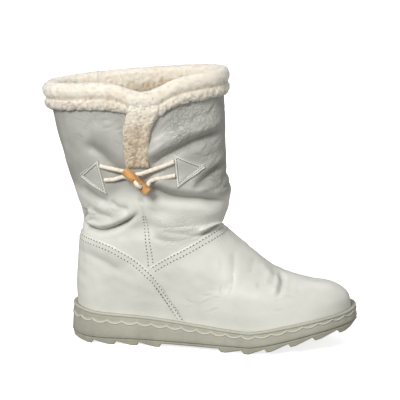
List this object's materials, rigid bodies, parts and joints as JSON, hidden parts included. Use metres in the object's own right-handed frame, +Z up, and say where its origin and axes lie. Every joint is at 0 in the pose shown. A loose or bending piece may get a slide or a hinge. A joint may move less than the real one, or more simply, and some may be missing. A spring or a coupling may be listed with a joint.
{
  "type": "winter boot",
  "caption": "Right-foot pull-on leather winter boot: slouched shaft, folded shearling cuff, fur-edged side slit closed by a toggle and cord loops, cup sole with barred tread.",
  "frame": {"origin": "on the floor, at the middle of the flat land of the heel's last tread bar, on the sole's middle line", "axes": "+X to the toe, +Y to the inner side of the foot, +Z up; the toggle and slit are on the outer side, -Y"},
  "size_m": [0.3084, 0.1208, 0.2696],
  "materials": {
    "leather": "smooth off-white leather with a soft sheen",
    "fur": "curled cream shearling pile",
    "side_rubber": "matt grey-beige rubber",
    "tread_rubber": "matt grey-beige rubber",
    "footbed": "cream pile",
    "cord": "off-white round cord",
    "toggle": "light varnished wood"
  },
  "bodies": {
    "root": {"outsole": "tread_rubber", "midsole": "side_rubber", "insole": "footbed", "upper": "leather", "cuff": "fur", "tab_front": "leather", "tab_rear": "leather", "cord_front": "cord", "cord_rear": "cord", "toggle": "toggle"}
  },
  "joints": []
}
